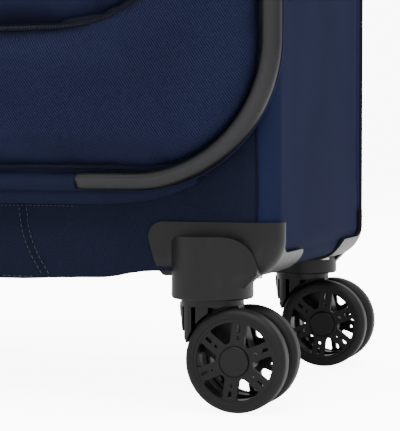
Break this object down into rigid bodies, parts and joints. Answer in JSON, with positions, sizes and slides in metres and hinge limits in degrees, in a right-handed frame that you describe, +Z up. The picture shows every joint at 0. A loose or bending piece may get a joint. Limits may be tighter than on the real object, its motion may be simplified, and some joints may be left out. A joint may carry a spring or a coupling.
{
  "type": "soft-sided spinner suitcase",
  "caption": "Soft-sided upright suitcase with a padded zipped front lid, edge guards, pull-out handle, carry handles and swivelling twin-wheel casters at its corners.",
  "frame": {"origin": "on the floor under the middle of the overall box, lid closed, handle in, casters trailing outwards", "axes": "+X to the suitcase's right-hand side seen from the front, +Y from the lid towards the back, +Z up"},
  "size_m": [0.4458, 0.2605, 0.667],
  "materials": {
    "plastic_black": "fine grained, satin",
    "tyre_rubber": "matte",
    "guard_rubber": "smooth satin",
    "grip_plastic": "soft touch",
    "button_plastic": "satin",
    "fabric_navy": "woven twill",
    "padded_navy": "woven twill over foam",
    "lining_grey": "thin smooth polyester",
    "webbing": "flat webbing",
    "zip_metal": "gunmetal",
    "zip_tape": "zip tape and coil",
    "aluminium_tube": "anodised",
    "steel": "zinc plated"
  },
  "bodies": {
    "case": {"back_panel": "fabric_navy", "base_tray": "plastic_black", "body_piping": "fabric_navy", "body_shell": "fabric_navy", "handle_sockets": "plastic_black", "housing_front_left": "plastic_black", "housing_front_right": "plastic_black", "housing_rear_left": "plastic_black", "housing_rear_right": "plastic_black", "housing_screws": "steel", "lining": "lining_grey", "lock_body": "plastic_black", "lower_front_panel": "fabric_navy", "main_zip": "zip_tape", "outer_tubes": "aluminium_tube", "packing_straps": "webbing", "rim_wire": "steel", "strap_buckles": "plastic_black", "swivel_pins": "steel", "trolley_bezel": "plastic_black", "tube_sockets": "plastic_black"},
    "caster_front_right": {"fork_front_right": "plastic_black"},
    "wheel_front_right_a": {"hub_front_right_a": "plastic_black", "tyre_front_right_a": "tyre_rubber"},
    "wheel_front_right_b": {"hub_front_right_b": "plastic_black", "tyre_front_right_b": "tyre_rubber"},
    "caster_front_left": {"fork_front_left": "plastic_black"},
    "wheel_front_left_a": {"hub_front_left_a": "plastic_black", "tyre_front_left_a": "tyre_rubber"},
    "wheel_front_left_b": {"hub_front_left_b": "plastic_black", "tyre_front_left_b": "tyre_rubber"},
    "caster_rear_right": {"fork_rear_right": "plastic_black"},
    "wheel_rear_right_a": {"hub_rear_right_a": "plastic_black", "tyre_rear_right_a": "tyre_rubber"},
    "wheel_rear_right_b": {"hub_rear_right_b": "plastic_black", "tyre_rear_right_b": "tyre_rubber"},
    "caster_rear_left": {"fork_rear_left": "plastic_black"},
    "wheel_rear_left_a": {"hub_rear_left_a": "plastic_black", "tyre_rear_left_a": "tyre_rubber"},
    "wheel_rear_left_b": {"hub_rear_left_b": "plastic_black", "tyre_rear_left_b": "tyre_rubber"},
    "middle_stage": {"middle_tubes": "aluminium_tube"},
    "top_stage": {"inner_tubes": "aluminium_tube", "grip": "grip_plastic"},
    "button": {"grip_button": "button_plastic"},
    "lid": {"lid_panel": "fabric_navy", "lower_pocket": "padded_navy", "upper_pocket": "padded_navy", "lid_piping": "fabric_navy", "lid_zips": "zip_tape", "guard_left": "guard_rubber", "guard_right": "guard_rubber"},
    "lower_slider": {"lower_slider": "zip_metal"},
    "upper_slider": {"upper_slider": "zip_metal"},
    "top_handle": {"top_handle": "guard_rubber"},
    "side_handle": {"side_handle": "guard_rubber"},
    "dial_1": {"lock_dial_1": "plastic_black"},
    "dial_2": {"lock_dial_2": "plastic_black"},
    "dial_3": {"lock_dial_3": "plastic_black"},
    "lock_button": {"lock_button": "button_plastic"}
  },
  "joints": [
    {"name": "swivel_front_right", "type": "hinge", "parent": "case", "child": "caster_front_right", "pos_m": [0.172, -0.1007, 0.065], "axis": [0, 0, 1], "continuous": true},
    {"name": "spin_front_right_a", "type": "hinge", "parent": "caster_front_right", "child": "wheel_front_right_a", "pos_m": [0.191, -0.1007, 0.03], "axis": [0, 1, 0], "continuous": true},
    {"name": "spin_front_right_b", "type": "hinge", "parent": "caster_front_right", "child": "wheel_front_right_b", "pos_m": [0.191, -0.1007, 0.03], "axis": [0, 1, 0], "continuous": true},
    {"name": "swivel_front_left", "type": "hinge", "parent": "case", "child": "caster_front_left", "pos_m": [-0.172, -0.1007, 0.065], "axis": [0, 0, 1], "continuous": true},
    {"name": "spin_front_left_a", "type": "hinge", "parent": "caster_front_left", "child": "wheel_front_left_a", "pos_m": [-0.191, -0.1007, 0.03], "axis": [0, 1, 0], "continuous": true},
    {"name": "spin_front_left_b", "type": "hinge", "parent": "caster_front_left", "child": "wheel_front_left_b", "pos_m": [-0.191, -0.1007, 0.03], "axis": [0, 1, 0], "continuous": true},
    {"name": "swivel_rear_right", "type": "hinge", "parent": "case", "child": "caster_rear_right", "pos_m": [0.172, 0.1053, 0.065], "axis": [0, 0, 1], "continuous": true},
    {"name": "spin_rear_right_a", "type": "hinge", "parent": "caster_rear_right", "child": "wheel_rear_right_a", "pos_m": [0.191, 0.1053, 0.03], "axis": [0, 1, 0], "continuous": true},
    {"name": "spin_rear_right_b", "type": "hinge", "parent": "caster_rear_right", "child": "wheel_rear_right_b", "pos_m": [0.191, 0.1053, 0.03], "axis": [0, 1, 0], "continuous": true},
    {"name": "swivel_rear_left", "type": "hinge", "parent": "case", "child": "caster_rear_left", "pos_m": [-0.172, 0.1053, 0.065], "axis": [0, 0, 1], "continuous": true},
    {"name": "spin_rear_left_a", "type": "hinge", "parent": "caster_rear_left", "child": "wheel_rear_left_a", "pos_m": [-0.191, 0.1053, 0.03], "axis": [0, 1, 0], "continuous": true},
    {"name": "spin_rear_left_b", "type": "hinge", "parent": "caster_rear_left", "child": "wheel_rear_left_b", "pos_m": [-0.191, 0.1053, 0.03], "axis": [0, 1, 0], "continuous": true},
    {"name": "stage_1_slide", "type": "slide", "parent": "case", "child": "middle_stage", "axis": [0, 0, 1], "range_m": [0, 0.19]},
    {"name": "stage_2_slide", "type": "slide", "parent": "middle_stage", "child": "top_stage", "axis": [0, 0, 1], "range_m": [0, 0.19]},
    {"name": "button_press", "type": "slide", "parent": "top_stage", "child": "button", "axis": [0, 0, -1], "range_m": [0, 0.003], "stiffness_N_per_m": 400, "springref_m": -0.002},
    {"name": "lid_hinge", "type": "hinge", "parent": "case", "child": "lid", "pos_m": [0, -0.108, 0.121], "axis": [1, 0, 0], "range_deg": [0, 90]},
    {"name": "lower_zip", "type": "slide", "parent": "lid", "child": "lower_slider", "axis": [1, 0, 0], "range_m": [0, 0.144]},
    {"name": "upper_zip", "type": "slide", "parent": "lid", "child": "upper_slider", "axis": [1, 0, 0], "range_m": [0, 0.248]},
    {"name": "top_handle_lift", "type": "slide", "parent": "case", "child": "top_handle", "axis": [0, 0, 1], "range_m": [0, 0.0145]},
    {"name": "side_handle_pull", "type": "slide", "parent": "case", "child": "side_handle", "axis": [-1, 0, 0], "range_m": [0, 0.0145], "stiffness_N_per_m": 60, "springref_m": -0.005},
    {"name": "dial_1_turn", "type": "hinge", "parent": "case", "child": "dial_1", "pos_m": [0.2158, -0.074, 0.402], "axis": [0, 0, 1], "continuous": true},
    {"name": "dial_2_turn", "type": "hinge", "parent": "case", "child": "dial_2", "pos_m": [0.2158, -0.074, 0.41], "axis": [0, 0, 1], "continuous": true},
    {"name": "dial_3_turn", "type": "hinge", "parent": "case", "child": "dial_3", "pos_m": [0.2158, -0.074, 0.418], "axis": [0, 0, 1], "continuous": true},
    {"name": "lock_button_push", "type": "slide", "parent": "case", "child": "lock_button", "axis": [0, 0, -1], "range_m": [0, 0.0035], "stiffness_N_per_m": 400, "springref_m": -0.002}
  ]
}
